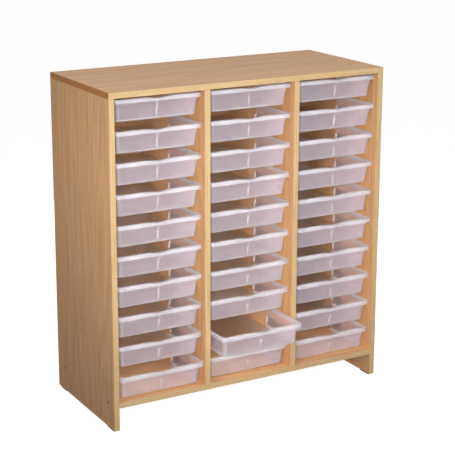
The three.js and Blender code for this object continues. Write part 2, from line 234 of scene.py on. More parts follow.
# Each lamp's common name, where it stands, where it points, its side in millimetres, its watts and its angle
LAMPS = {
    "key": ("front lamp", (-1.1, -3.0, 1.3), (0, 0, 0.7), 1500, 23, 180),
    "fill": ("left front lamp", (-1.3, -1.55, 0.9), (0.27, -0.17, 0.62), 700, 3.9, 70),
    "overhead": ("overhead lamp", (0, -1.9, 2.9), (0, 0, 0.7), 1600, 35, 180),
    "side": ("left lamp", (-1.6, -0.3, 1.35), (-0.5, 0, 0.95), 700, 1.05, 80),
    "right": ("right lamp", (2.3, 0.5, 0.55), (0.5, 0, 0.55), 1000, 13, 180),
    "back": ("back lamp", (0.3, 2.7, 0.55), (0, 0.2, 0.55), 1000, 30, 180),
}


def add_lamp_settings():
    """Gives the stage's settings those of each lamp."""
    for name, (lamp, stands, aim, side_mm, watts, degrees) in LAMPS.items():
        label = name.capitalize()
        StageSettings.__annotations__.update({
            f"{name}_place": place(f"{label} place", f"Where the {lamp} stands", stands),
            f"{name}_target": place(f"{label} target", f"Where the {lamp} points", aim),
            f"{name}_size": size(f"{label} size", f"Side of the {lamp}'s square face", side_mm),
            f"{name}_power": power(f"{label} power", f"Power of the {lamp}", watts),
            f"{name}_spread": angle(f"{label} spread", f"Angle that the {lamp}'s light fills", degrees),
        })


add_lamp_settings()


# Materials

# Step of the noise from one drawn growth ring to the next, and how much the streaks count beside the rings
RING_STEP = 0.05
STREAK_SHARE = 0.62

# Widths of the marks in the plastics and the steel, in millimetres
CLOUD_MM = 70
FROST_MM = 1.2
GRIT_MM = 1.5
SCUFF_MM = 14
OIL_MM = 2.5

# Roughness of each finish where it is smoothest and where it is roughest
BOARD_ROUGHNESS = (0.52, 0.66)
BAND_ROUGHNESS = (0.5, 0.62)
RUNNER_ROUGHNESS = (0.5, 0.65)
TRAY_ROUGHNESS = (0.3, 0.42)
INNER_ROUGHNESS = (0.25, 0.35)
GLIDE_ROUGHNESS = (0.45, 0.7)
BOLT_ROUGHNESS = (0.28, 0.5)

# Weight of the coat that gives the trays their gloss, and of the thinner one inside them
TRAY_COAT = 0.3
INNER_COAT = 0.15


def add(tree, kind, sockets=None, **settings):
    """Adds one node with its settings, and fills its sockets from values or from other nodes' sockets."""
    node = tree.nodes.new("ShaderNode" + kind)
    for name, value in settings.items():
        setattr(node, name, value)
    for name, value in (sockets or {}).items():
        if isinstance(value, bpy.types.NodeSocket):
            tree.links.new(value, node.inputs[name])
        else:
            node.inputs[name].default_value = value
    return node


def new_material(name, **constants):
    """A material, its nodes, its shader with the values that are the same all over, and its coordinates."""
    material = bpy.data.materials.new(name)
    material.use_nodes = True
    tree = material.node_tree
    shader = tree.nodes["Principled BSDF"]
    for socket, value in constants.items():
        shader.inputs[socket.replace("_", " ")].default_value = value
    return material, tree, shader, add(tree, "TexCoord").outputs["Object"]


def finish_shader(tree, shader, tint, pattern, roughness, relief=None, strength=0.0, depth_mm=0.0):
    """Gives a shader its colour, a roughness that follows a pattern, and a relief of some depth."""
    low, high = roughness
    gloss = add(tree, "MapRange", {"Value": pattern, "To Min": low, "To Max": high})
    tree.links.new(tint, shader.inputs["Base Color"])
    tree.links.new(gloss.outputs[0], shader.inputs["Roughness"])
    if relief:
        pressed = add(tree, "Bump", {"Strength": strength, "Distance": depth_mm * MM, "Height": relief})
        tree.links.new(pressed.outputs[0], shader.inputs["Normal"])


def marks(width_mm):
    """Scale of a pattern whose marks are so wide."""
    return 1 / (width_mm * MM)


def grain(axis, width_mm, length_mm):
    """Scale of a pattern whose marks are so wide, and so long along one axis."""
    scale = [marks(width_mm)] * 3
    scale["XYZ".index(axis)] = marks(length_mm)
    return scale


def wood_figure(tree, spot, axis, pale, dark, rings_mm, streaks_mm):
    """Growth rings sawn along the trunk as long nested lines with fine streaks over them, along one axis."""
    trunk = add(tree, "Mapping", {"Vector": spot, "Scale": grain(axis, *rings_mm)})
    swell = add(
        tree, "TexNoise", {"Vector": trunk.outputs[0], "Scale": 1.0, "Detail": 1.0, "Distortion": 0.3}
    )
    rings = add(tree, "Math", {0: swell.outputs[0], 1: RING_STEP}, operation="PINGPONG")
    ring_share = add(tree, "MapRange", {"Value": rings.outputs[0], "From Max": RING_STEP})
    fibres = add(tree, "Mapping", {"Vector": spot, "Scale": grain(axis, *streaks_mm)})
    streaks = add(tree, "TexNoise", {"Vector": fibres.outputs[0], "Scale": 1.0, "Detail": 3.0})
    streak_share = add(tree, "MapRange", {"Value": streaks.outputs[0], "From Min": 0.3, "From Max": 0.7})
    both = add(
        tree,
        "Mix",
        {MIX_SHARE: STREAK_SHARE, NUMBER_A: ring_share.outputs[0], NUMBER_B: streak_share.outputs[0]},
    )
    mixed = add(
        tree, "Mix", {MIX_SHARE: both.outputs[NUMBER], COLOUR_A: pale, COLOUR_B: dark}, data_type="RGBA"
    )
    return mixed.outputs[COLOUR], streaks.outputs[0]


def beech_melamine(settings, film, axis, shine):
    """Chipboard faced with melamine film, printed as beech and pressed with a fine pore."""
    # The print gives broad warm bands with short dark flecks, and the pressed pore a soft satin gloss
    material, tree, shader, spot = new_material(
        f"melamine_{film}_grain_{axis.lower()}", IOR=1.5, Specular_IOR_Level=shine
    )
    pale, dark, fleck = (getattr(settings, f"{film}_{tone}") for tone in ("pale", "dark", "fleck"))
    # Real streaks are about 1 mm wide and flecks 0.6 by 5 mm: both are drawn coarser so that they show
    wood, streaks = wood_figure(tree, spot, axis, pale, dark, rings_mm=(120, 1500), streaks_mm=(6, 380))
    fleck_scale = grain(axis, width_mm=2.2, length_mm=24)
    flecks = add(tree, "Mapping", {"Vector": spot, "Scale": fleck_scale})
    fleck_noise = add(tree, "TexNoise", {"Vector": flecks.outputs[0], "Scale": 1.0, "Detail": 1.0})
    fleck_share = add(
        tree,
        "MapRange",
        {"Value": fleck_noise.outputs[0], "From Min": 0.58, "From Max": 0.72, "To Max": 0.55},
    )
    mixed = add(
        tree, "Mix", {MIX_SHARE: fleck_share.outputs[0], COLOUR_A: wood, COLOUR_B: fleck}, data_type="RGBA"
    )
    pores = fleck_noise.outputs[0]
    finish_shader(
        tree, shader, mixed.outputs[COLOUR], streaks, BOARD_ROUGHNESS, pores, strength=0.25, depth_mm=0.15
    )
    return material


def beech_edge_band(axis, pale, dark, shine):
    """Extruded ABS banding printed as beech, glued on and scraped flush."""
    # A paler, yellower strip than the board on the fronts, with long thin streaks and a matt face; on the
    # ends of the top it is coloured darker and more orange, which is painted shade.
    # Real streaks are about 1 mm wide, drawn coarser so that they show
    material, tree, shader, spot = new_material(
        f"abs_beech_edge_band_{axis.lower()}", IOR=1.53, Specular_IOR_Level=shine
    )
    wood, streaks = wood_figure(tree, spot, axis, pale, dark, rings_mm=(60, 700), streaks_mm=(4, 160))
    finish_shader(tree, shader, wood, streaks, BAND_ROUGHNESS, streaks, strength=0.2, depth_mm=0.1)
    return material


def planed_beech(settings):
    """Solid beech, planed and sealed."""
    # Fine straight grain along the strip and a matt sealed face
    material, tree, shader, spot = new_material("planed_beech", IOR=1.5)
    wood, streaks = wood_figure(
        tree, spot, "Y", settings.strip_pale, settings.strip_dark, rings_mm=(40, 500), streaks_mm=(2, 90)
    )
    finish_shader(tree, shader, wood, streaks, RUNNER_ROUGHNESS, streaks, strength=0.3, depth_mm=0.15)
    return material


def frosted_polypropylene(settings, part):
    """Natural polypropylene, injection moulded in a lightly blasted mould."""
    # A milky sheet that lets blurred shapes through with a soft waxy gloss, whiter where it is thick.
    # A thin wall hardly bends light, so its index is far below the plastic's own 1.49: a coat has the gloss
    clearness = getattr(settings, f"{part}_clearness")
    cloud = {"inner": "inner", "front": "wall", "side": "wall"}.get(part, "lip")
    pale, deep = (getattr(settings, f"{cloud}_{tone}") for tone in ("pale", "deep"))
    material, tree, shader, spot = new_material(
        f"frosted_polypropylene_{part}",
        IOR=1.12,
        Transmission_Weight=clearness,
        Coat_Weight=INNER_COAT if part == "inner" else TRAY_COAT,
        Coat_Roughness=0.4,
    )
    clouds = add(
        tree, "TexNoise", {"Vector": spot, "Scale": marks(CLOUD_MM), "Detail": 2.0, "Distortion": 0.6}
    )
    cloud_share = add(tree, "MapRange", {"Value": clouds.outputs[0], "From Min": 0.35, "From Max": 0.65})
    mixed = add(
        tree, "Mix", {MIX_SHARE: cloud_share.outputs[0], COLOUR_A: pale, COLOUR_B: deep}, data_type="RGBA"
    )
    # The blasted grain is about 0.2 mm, drawn coarser so that it shows
    blasted = add(tree, "TexNoise", {"Vector": spot, "Scale": marks(FROST_MM), "Detail": 2.0})
    roughness = INNER_ROUGHNESS if part == "inner" else TRAY_ROUGHNESS
    finish_shader(
        tree,
        shader,
        mixed.outputs[COLOUR],
        clouds.outputs[0],
        roughness,
        blasted.outputs[0],
        strength=0.12,
        depth_mm=0.1,
    )
    # Lamps shine through into the carcass: half of what a face scatters still goes on inwards
    path = add(tree, "LightPath")
    passing = (1 + clearness) / 2
    passed = add(tree, "BsdfTransparent", {"Color": (passing, passing, passing, 1.0)})
    chosen = add(
        tree, "MixShader", {0: path.outputs["Is Shadow Ray"], 1: shader.outputs[0], 2: passed.outputs[0]}
    )
    tree.links.new(chosen.outputs[0], tree.nodes["Material Output"].inputs["Surface"])
    return material


def moulded_black_polyethylene(settings):
    """Polyethylene coloured black and moulded with a fine grain."""
    # Near black with a dull waxy gloss, scuffed paler where it slides
    material, tree, shader, spot = new_material(
        "moulded_black_polyethylene", IOR=1.51, Specular_IOR_Level=0.15
    )
    # The moulded grain is about 0.3 mm, drawn coarser so that it shows
    grit = add(tree, "TexNoise", {"Vector": spot, "Scale": marks(GRIT_MM), "Detail": 2.0})
    scuffs = add(tree, "TexNoise", {"Vector": spot, "Scale": marks(SCUFF_MM), "Detail": 4.0})
    scuff_share = add(
        tree, "MapRange", {"Value": scuffs.outputs[0], "From Min": 0.5, "From Max": 0.8, "To Max": 0.3}
    )
    mixed = add(
        tree,
        "Mix",
        {MIX_SHARE: scuff_share.outputs[0], COLOUR_A: settings.plastic, COLOUR_B: settings.plastic_scuffed},
        data_type="RGBA",
    )
    finish_shader(
        tree,
        shader,
        mixed.outputs[COLOUR],
        scuffs.outputs[0],
        GLIDE_ROUGHNESS,
        grit.outputs[0],
        strength=0.25,
        depth_mm=0.1,
    )
    return material


def blackened_steel(settings):
    """Cold-formed steel with a blackened, oiled finish."""
    # Dark metal whose oil film breaks the highlight into patches
    material, tree, shader, spot = new_material("blackened_steel", Metallic=1.0)
    oil = add(tree, "TexNoise", {"Vector": spot, "Scale": marks(OIL_MM), "Detail": 3.0})
    mixed = add(
        tree,
        "Mix",
        {MIX_SHARE: oil.outputs[0], COLOUR_A: settings.steel, COLOUR_B: settings.steel_oiled},
        data_type="RGBA",
    )
    finish_shader(tree, shader, mixed.outputs[COLOUR], oil.outputs[0], BOLT_ROUGHNESS)
    return material


# Pieces


def place_piece(name, mesh, body, location=(0, 0, 0)):
    """Puts a mesh in the scene as a piece that rides on a body and takes its finish from a slot."""
    piece = bpy.data.objects.new(name, mesh)
    piece.location = location
    bpy.context.scene.collection.objects.link(piece)
    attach(piece, body)
    return piece


def finished_mesh(bm, name, *materials, smooth_angle=None):
    """Turns a bmesh into a mesh with its materials, smooth where its faces meet under an angle."""
    bmesh.ops.recalc_face_normals(bm, faces=bm.faces)
    mesh = bpy.data.meshes.new(name)
    bm.to_mesh(mesh)
    bm.free()
    for material in materials:
        mesh.materials.append(material)
    if smooth_angle is not None:
        mesh.shade_smooth()
        mesh.set_sharp_from_angle(angle=math.radians(smooth_angle))
    return mesh


def box_bmesh(low, high):
    """A plain box between two corners."""
    bm = bmesh.new()
    bmesh.ops.create_cube(bm, size=1.0)
    for vertex in bm.verts:
        vertex.co = Vector([low[i] if vertex.co[i] < 0 else high[i] for i in range(3)])
    return bm


def ease_edges(bm, edges, radius):
    """Rounds edges off."""
    bmesh.ops.bevel(bm, geom=edges, offset=radius, segments=2, profile=0.5, affect="EDGES")


def rounded_board(name, low, high, radius, material, cuts=()):
    """A board with its edges eased, and holes or grooves cut out of it."""
    bm = box_bmesh(low, high)
    ease_edges(bm, bm.edges, radius)
    mesh = finished_mesh(bm, name, material)
    return cut_mesh(mesh, cuts) if cuts else mesh


def cut_mesh(mesh, cuts):
    """Cuts closed meshes out of a mesh."""
    blank = bpy.data.objects.new("blank", mesh)
    bpy.context.scene.collection.objects.link(blank)
    tools = []
    for cutter in cuts:
        tool = bpy.data.objects.new("cutter", cutter)
        bpy.context.scene.collection.objects.link(tool)
        modifier = blank.modifiers.new("cut", "BOOLEAN")
        modifier.object = tool
        modifier.operation = "DIFFERENCE"
        modifier.solver = "EXACT"
        tools.append(tool)
    bpy.context.view_layer.update()
    graph = bpy.context.evaluated_depsgraph_get()
    finished = bpy.data.meshes.new_from_object(blank.evaluated_get(graph))
    finished.name = mesh.name
    for helper in (blank, *tools):
        bpy.data.objects.remove(helper)
    return finished


def lofted(bm, rings):
    """Faces between rings of as many points each, with a face over the first and the last one."""
    rows = [[bm.verts.new(point) for point in ring] for ring in rings]
    for lower, upper in zip(rows, rows[1:]):
        for i in range(len(lower)):
            j = (i + 1) % len(lower)
            bm.faces.new((lower[i], lower[j], upper[j], upper[i]))
    bm.faces.new(reversed(rows[0]))
    bm.faces.new(rows[-1])


def level_rings(x, inward, y, z, profile):
    """Rings about a level axis, each at a depth from x, with one radius or a function that gives it."""
    rings = []
    for depth, radius in profile:
        ring = []
        for i in range(BOLT_SIDES):
            turn = 2 * math.pi * i / BOLT_SIDES
            reach = radius(turn) if callable(radius) else radius
            ring.append((x + inward * depth, y + reach * math.cos(turn), z + reach * math.sin(turn)))
        rings.append(ring)
    return rings


class TRAYUNIT_OT_stage(bpy.types.Operator):
    """Sets up the camera, the lamps, the pale floor and the white surround"""

    bl_idname = "trayunit.stage"
    bl_label = "Stage"

    def execute(self, context):
        settings = context.scene.trayunit_stage
        scene = context.scene
        scene.view_settings.view_transform = "Standard"
        self.add_camera(scene, settings)
        self.add_floor(scene, settings)
        self.light_world(scene, settings)
        for name in LAMPS:
            self.add_lamp(scene, settings, name)
        return {"FINISHED"}

    def add_camera(self, scene, settings):
        camera = bpy.data.objects.new("camera", bpy.data.cameras.new("camera"))
        camera.location = settings.camera_place
        camera.rotation_euler = (math.pi / 2 - settings.camera_elevation, 0, settings.camera_azimuth)
        camera.data.sensor_width = SENSOR_MM
        camera.data.lens = settings.camera_lens
        camera.data.shift_x, camera.data.shift_y = settings.camera_shift
        scene.collection.objects.link(camera)
        scene.camera = camera

    def add_lamp(self, scene, settings, name):
        """A square soft lamp that points at the unit."""
        lamp = bpy.data.objects.new(f"{name}_lamp", bpy.data.lights.new(f"{name}_lamp", "AREA"))
        lamp.data.energy = getattr(settings, f"{name}_power")
        lamp.data.size = getattr(settings, f"{name}_size")
        lamp.location = getattr(settings, f"{name}_place")
        lamp.rotation_mode = "QUATERNION"
        aim = getattr(settings, f"{name}_target") - lamp.location
        lamp.rotation_quaternion = aim.to_track_quat("-Z", "Y")
        lamp.data.spread = getattr(settings, f"{name}_spread")
        scene.collection.objects.link(lamp)

    def seen_directly(self, tree):
        """1 for rays from the camera and for what gloss or clear plastic shows, else 0."""
        path = add(tree, "LightPath")
        gloss = add(
            tree,
            "Math",
            {0: path.outputs["Is Camera Ray"], 1: path.outputs["Is Glossy Ray"]},
            operation="MAXIMUM",
        )
        return add(
            tree, "Math", {0: gloss.outputs[0], 1: path.outputs["Is Transmission Ray"]}, operation="MAXIMUM"
        ).outputs[0]

    def light_world(self, scene, settings):
        world = bpy.data.worlds.new("white_studio")
        world.use_nodes = True
        tree = world.node_tree
        even = tree.nodes["Background"]
        even.inputs["Color"].default_value = WHITE
        even.inputs["Strength"].default_value = settings.sky_strength
        white = add(tree, "Background", {"Color": WHITE, "Strength": 1.0})
        chosen = add(
            tree, "MixShader", {0: self.seen_directly(tree), 1: even.outputs[0], 2: white.outputs[0]}
        )
        tree.links.new(chosen.outputs[0], tree.nodes["World Output"].inputs["Surface"])
        scene.world = world

    def add_floor(self, scene, settings):
        material = bpy.data.materials.new("matt_studio_floor")
        material.use_nodes = True
        tree = material.node_tree
        tree.nodes.remove(tree.nodes["Principled BSDF"])
        matt = add(tree, "BsdfDiffuse", {"Color": settings.floor_colour})
        # Part of the floor glows to the eye, so that it runs into the white surround and keeps a soft shadow
        glow = add(tree, "Emission", {"Color": WHITE, "Strength": settings.floor_glow})
        shaded = add(tree, "BsdfDiffuse", {"Color": settings.floor_seen})
        seen = add(tree, "AddShader", {0: shaded.outputs[0], 1: glow.outputs[0]})
        chosen = add(
            tree, "MixShader", {0: self.seen_directly(tree), 1: matt.outputs[0], 2: seen.outputs[0]}
        )
        tree.links.new(chosen.outputs[0], tree.nodes["Material Output"].inputs["Surface"])
        bm = bmesh.new()
        bmesh.ops.create_circle(bm, cap_ends=True, radius=settings.floor_radius, segments=96)
        floor = bpy.data.objects.new("studio_floor", finished_mesh(bm, "studio_floor", material))
        scene.collection.objects.link(floor)


class TRAYUNIT_OT_boards(bpy.types.Operator):
    """Makes the side panels and dividers, and finishes the top, bottom and back panels"""

    bl_idname = "trayunit.boards"
    bl_label = "Boards"

    def execute(self, context):
        settings = context.scene.trayunit_carcass
        fittings = context.scene.trayunit_fittings
        upright = beech_melamine(settings, "beech", "Z", settings.upright_shine)
        level = beech_melamine(settings, "beech", "X", settings.level_shine)
        back = beech_melamine(settings, "back", "Z", settings.upright_shine)
        for node, material in (("top_panel", level), ("bottom_panel", level), ("back_panel", back)):
            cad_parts[node].material_slots[0].material = material
        for side in ("left", "right"):
            self.add_upright(f"{side}_side", settings, upright, self.side_cuts(side, fittings))
            self.add_upright(f"{side}_divider", settings, upright, [])
        return {"FINISHED"}

    def add_upright(self, name, settings, material, cuts):
        """A board as thick and tall as its edge band, and as deep as its node."""
        band_low, band_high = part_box(f"{name}_edge_band")
        node_low, node_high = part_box(f"{name}_panel")
        low = Vector((band_low.x, node_low.y, band_low.z))
        high = Vector((band_high.x, node_high.y, band_high.z))
        mesh = rounded_board(f"{name}_board", low, high, settings.board_radius, material, cuts)
        board = place_piece(f"{name}_board", mesh, CABINET)
        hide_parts(f"{name}_panel")

    def side_cuts(self, side, fittings):
        """The groove for the back panel, and a stepped hole for each bolt."""
        low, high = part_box("back_panel")
        clear = Vector((SEAT_GAP,) * 3)
        cuts = [finished_mesh(box_bmesh(low - clear, high + clear), "groove")]
        for end in ("front", "rear"):
            low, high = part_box(f"{side}_{end}_bolt")
            inward = 1 if side == "left" else -1
            outer = low.x if side == "left" else high.x
            head = fittings.head_diameter / 2 + SEAT_GAP
            shank = fittings.shank_diameter / 2 + SEAT_GAP
            step = fittings.head_height + SEAT_GAP
            depth = high.x - low.x
            profile = [(-step, head), (step, head), (step, shank), (depth, shank)]
            bm = bmesh.new()
            lofted(bm, level_rings(outer, inward, (low.y + high.y) / 2, (low.z + high.z) / 2, profile))
            cuts.append(finished_mesh(bm, "bolt_hole"))
        return cuts


class TRAYUNIT_OT_edge_bands(bpy.types.Operator):
    """Makes the edge bands on the front and the ends of the boards"""

    bl_idname = "trayunit.edge_bands"
    bl_label = "Edge bands"

    def execute(self, context):
        settings = context.scene.trayunit_carcass
        runs = {
            "X": ("top_front", "bottom"),
            "Y": ("top_left", "top_right"),
            "Z": ("left_side", "right_side", "left_divider", "right_divider"),
        }
        for axis, names in runs.items():
            # The bands on the ends of the top take the darker colours, which are painted shade
            tones = ("shaded_end_pale", "shaded_end_dark") if axis == "Y" else ("edge_pale", "edge_dark")
            pale, dark = (getattr(settings, tone) for tone in tones)
            material = beech_edge_band(axis, pale, dark, settings.band_shine)
            for name in names:
                node = f"{name}_edge_band"
                low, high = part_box(node)
                mesh = rounded_board(f"{name}_banding", low, high, settings.band_radius, material)
                band = place_piece(f"{name}_banding", mesh, CABINET)
                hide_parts(node)
        return {"FINISHED"}


class TRAYUNIT_OT_runners(bpy.types.Operator):
    """Makes the runner strips that carry the trays' lips"""

    bl_idname = "trayunit.runners"
    bl_label = "Runners"

    def execute(self, context):
        settings = context.scene.trayunit_carcass
        lip_height = context.scene.trayunit_trays.lip_height
        material = planed_beech(settings)
        strips = {sign: self.strip_mesh(settings, sign, material) for sign in (1, -1)}
        faces = []
        for name in ("left_side", "left_divider", "right_divider", "right_side"):
            low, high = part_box(f"{name}_edge_band")
            if name != "left_side":
                faces.append((name, "left", low.x, -1))
            if name != "right_side":
                faces.append((name, "right", high.x, 1))
        for name, face, x, sign in faces:
            for row in range(1, ROWS + 1):
                tray_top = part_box(f"left_tray_{row:02d}")[1].z
                seat = (x, 0, tray_top - lip_height - SEAT_GAP)
                place_piece(f"{name}_{face}_runner_{row:02d}", strips[sign], CABINET, seat)
        return {"FINISHED"}

    def strip_mesh(self, settings, sign, material):
        """A strip with a level top at zero, a short nose and a sloping underside, on a face at zero."""
        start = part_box("left_side_edge_band")[0].y + settings.runner_setback
        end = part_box("left_tray_01")[1].y - settings.runner_rear_gap
        section = [
            (0, 0),
            (sign * settings.runner_depth, 0),
            (sign * settings.runner_depth, -settings.runner_nose),
            (0, -settings.runner_height),
        ]
        bm = bmesh.new()
        lofted(bm, [[(x, y, z) for x, z in section] for y in (start, end)])
        proud = [edge for edge in bm.edges if any(abs(v.co.x) > 0 for v in edge.verts)]
        ease_edges(bm, proud, settings.runner_radius)
        return finished_mesh(bm, "runner_strip", material)


class TRAYUNIT_OT_trays(bpy.types.Operator):
    """Makes the moulded trays"""

    bl_idname = "trayunit.trays"
    bl_label = "Trays"

    # Steps of a corner, of a bend in the wall and of the scoop
    corner_steps = 6
    bend_steps = 4
    scoop_steps = 20

    # Side and end of each corner, and the share of a half turn at which its arc starts
    corners = ((1, -1, -0.5), (1, 1, 0), (-1, 1, 0.5), (-1, -1, 1))

    # Radii of the bends in the wall, and the most of the way to the next station that a bend takes
    lip_bend = 0.9 * MM
    rim_bend = 2 * MM
    neck_bend = 2 * MM
    inner_neck_bend = 3 * MM
    shoulder_bend = 6 * MM
    bend_reach = 0.49

    # Corner radius of the flat floor, and how far from a corner the straight wall is held flat
    floor_corner = 1.5 * MM
    corner_hold = 3 * MM

    # Heights where the fins begin and end, and the length of their slopes there
    rib_foot = 11 * MM
    rib_top = 36 * MM
    rib_end = 1.2 * MM

    # Where a fin begins, has risen, falls and ends, as shares of half the pair's width
    fin_shares = (0.5, 0.57, 0.93, 1.0)

    # Ridge on the outside behind the fins, as a share of their height
    ridge_share = -0.2

    # Limits of the parts that differ in clearness
    front_depth = 27 * MM
    turn_height = 7 * MM
    floor_skin = 0.3 * MM
    parts = ("lip", "fin", "bend", "turn", "front", "side", "inner")

    def execute(self, context):
        settings = context.scene.trayunit_trays
        low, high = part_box(TRAYS[0])
        self.width, self.length, self.height = high - low
        self.settings = settings
        bm = bmesh.new()
        lofted(bm, [self.ring(*row) for row in self.rows()])
        for face in bm.faces:
            face.material_index = self.parts.index(self.part_of(face.calc_center_median()))
        plastics = [frosted_polypropylene(settings, part) for part in self.parts]
        mesh = finished_mesh(bm, "tray_moulding", *plastics, smooth_angle=50)
        for node in TRAYS:
            low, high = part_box(node)
            seat = ((low.x + high.x) / 2, (low.y + high.y) / 2, low.z)
            tray = place_piece(f"{node}_moulding", mesh, node, seat)
            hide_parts(node)
        return {"FINISHED"}

    def part_of(self, point):
        """The part of the tray that a point lies on, each with a clearness of its own."""
        half_rib = self.settings.rib_width / 2
        if point.z > self.height - self.settings.lip_height:
            return "lip"
        if min(abs(point.x), abs(point.y)) < half_rib and point.z > self.rib_foot:
            return "fin"
        from_side = self.width / 2 - abs(point.x)
        from_end = self.length / 2 - abs(point.y)
        if point.y > 0 or min(from_side, from_end) > self.front_depth:
            return "inner"
        if self.floor_skin < point.z < self.turn_height:
            return "turn"
        if max(from_side, from_end) < self.front_depth:
            return "bend"
        return "front" if from_end < self.front_depth else "side"

    def stations(self):
        """The wall's path from under the floor, up the outside, over the lip and down the inside.

        Each station holds its inset at the sides and at the ends, its corner radius, its height, its share
        of the scoop and of the rib, and then the radius of the bend there.
        """
        s = self.settings
        wall = s.wall
        lip_foot = self.height - s.lip_height
        shoulder_foot = lip_foot - s.shoulder_drop
        rim = Vector((0, 0, s.rim_corner))
        neck = Vector((s.lip_side_reach, s.lip_end_reach, s.body_corner))
        waist = neck + Vector((s.shoulder_side_draw, s.shoulder_end_draw, 0))
        base = waist + Vector((s.taper, s.taper, 0))
        inward = Vector((1, 1, -1))
        within = inward * wall
        floor_edge = base + inward * (s.body_corner - self.floor_corner)
        path = [
            (floor_edge, 0, 0, 0),
            (base, 0, 0, s.floor_radius),
            (waist, shoulder_foot, 0, self.shoulder_bend),
            (neck, lip_foot, 0, self.neck_bend),
            (neck, self.height - wall, 1, self.lip_bend),
            (rim + within, self.height - wall, 1, self.lip_bend),
            (rim + within, lip_foot, 0, self.lip_bend),
            (rim, lip_foot, 0, self.lip_bend),
            (rim, self.height, 1, self.rim_bend),
            (neck + within, self.height, 1, self.rim_bend),
            (neck + within, lip_foot, 0, self.inner_neck_bend),
            (waist + within, shoulder_foot, 0, self.shoulder_bend),
            (base + within, wall, 0, s.floor_radius - wall),
            (floor_edge, wall, 0, 0),
        ]
        stations = [(Vector((*plan, z, scoop, 0)), radius) for plan, z, scoop, radius in path]
        outside = self.rib_rows(stations[1][0], stations[2][0], self.ridge_share)
        inside = self.rib_rows(stations[-3][0], stations[-2][0], 1)
        return stations[:2] + outside + stations[2:-2] + inside + stations[-2:]

    def rib_rows(self, start, end, most):
        """Rows between two stations where the fins or their ridge begin, reach their most and end."""
        heights = [(self.turn_height, 0), (self.rib_foot, 0), (self.rib_foot + self.rib_end, most)]
        heights += [(self.rib_top - self.rib_end, most), (self.rib_top, 0)]
        rows = []
        for z, rib in heights if start[HEIGHT] < end[HEIGHT] else reversed(heights):
            row = start.lerp(end, (z - start[HEIGHT]) / (end[HEIGHT] - start[HEIGHT]))
            row[RIB] = rib
            rows.append((row, 0))
        return rows

    def rows(self):
        """The stations, with each bend drawn as a curve."""
        stations = self.stations()
        rows = []
        for i, (here, radius) in enumerate(stations):
            if radius == 0:
                rows.append(here)
                continue
            before = self.towards(here, stations[i - 1][0], radius)
            after = self.towards(here, stations[i + 1][0], radius)
            for step in range(self.bend_steps + 1):
                t = step / self.bend_steps
                rows.append(before.lerp(here, t).lerp(here.lerp(after, t), t))
        return rows

    def towards(self, here, other, distance):
        """The point that lies so far from one station on the way to another, and at most about half way."""
        apart = math.hypot(other[INSET] - here[INSET], other[HEIGHT] - here[HEIGHT])
        return here.lerp(other, min(distance / apart, self.bend_reach))

    def ring(self, side, end, corner, z, scoop, rib):
        """One closed row of points round the tray, starting at the front right corner."""
        reach_x = self.width / 2 - side - corner
        reach_y = self.length / 2 - end - corner
        half_rib = self.settings.rib_width / 2
        steps = range(self.scoop_steps + 1)
        waves = [(i / self.scoop_steps - 0.5) * self.settings.scoop_width for i in steps]
        ribs = [sign * part * half_rib for sign in (-1, 1) for part in self.fin_shares]
        across = ribs + [self.corner_hold - reach_x, reach_x - self.corner_hold]
        front = sorted([x for x in waves if abs(x) > half_rib] + across)
        back = sorted(across, reverse=True)
        right = sorted(ribs + [self.corner_hold - reach_y, reach_y - self.corner_hold])
        edges = [
            [self.side_point(reach_x + corner, y, z, rib) for y in right],
            [self.end_point(x, reach_y + corner, z, 0, rib) for x in back],
            [self.side_point(-reach_x - corner, y, z, rib) for y in reversed(right)],
            [self.end_point(x, -reach_y - corner, z, scoop, rib) for x in front],
        ]
        points = []
        for (sign_x, sign_y, start), edge in zip(self.corners, edges):
            for step in range(self.corner_steps + 1):
                turn = math.pi * (start + step / (2 * self.corner_steps))
                x = sign_x * reach_x + corner * math.cos(turn)
                y = sign_y * reach_y + corner * math.sin(turn)
                points.append((x, y, z))
            points.extend(edge)
        return points

    def proud(self, across, rib):
        """How far the wall moves inwards for a pair of fins, or outwards for the ridge behind them."""
        begins, risen, falls, ends = self.fin_shares
        off_centre = abs(across) / (self.settings.rib_width / 2)
        between_fins = rib > 0 and off_centre < (begins + risen) / 2
        beyond_fins = off_centre > (falls + ends) / 2
        return 0 if between_fins or beyond_fins else rib * self.settings.rib_proud

    def side_point(self, x, y, z, rib):
        """A point of a side wall, pushed inwards by the fins."""
        return (x - math.copysign(1, x) * self.proud(y, rib), y, z)

    def end_point(self, x, y, z, scoop, rib):
        """A point of the front or back wall, dipped by the scoop and pushed inwards by the fins."""
        dip = 0
        if abs(x) < self.settings.scoop_width / 2:
            dip = self.settings.scoop_depth * (1 + math.cos(2 * math.pi * x / self.settings.scoop_width)) / 2
        return (x, y - math.copysign(1, y) * self.proud(x, rib), z - scoop * dip)


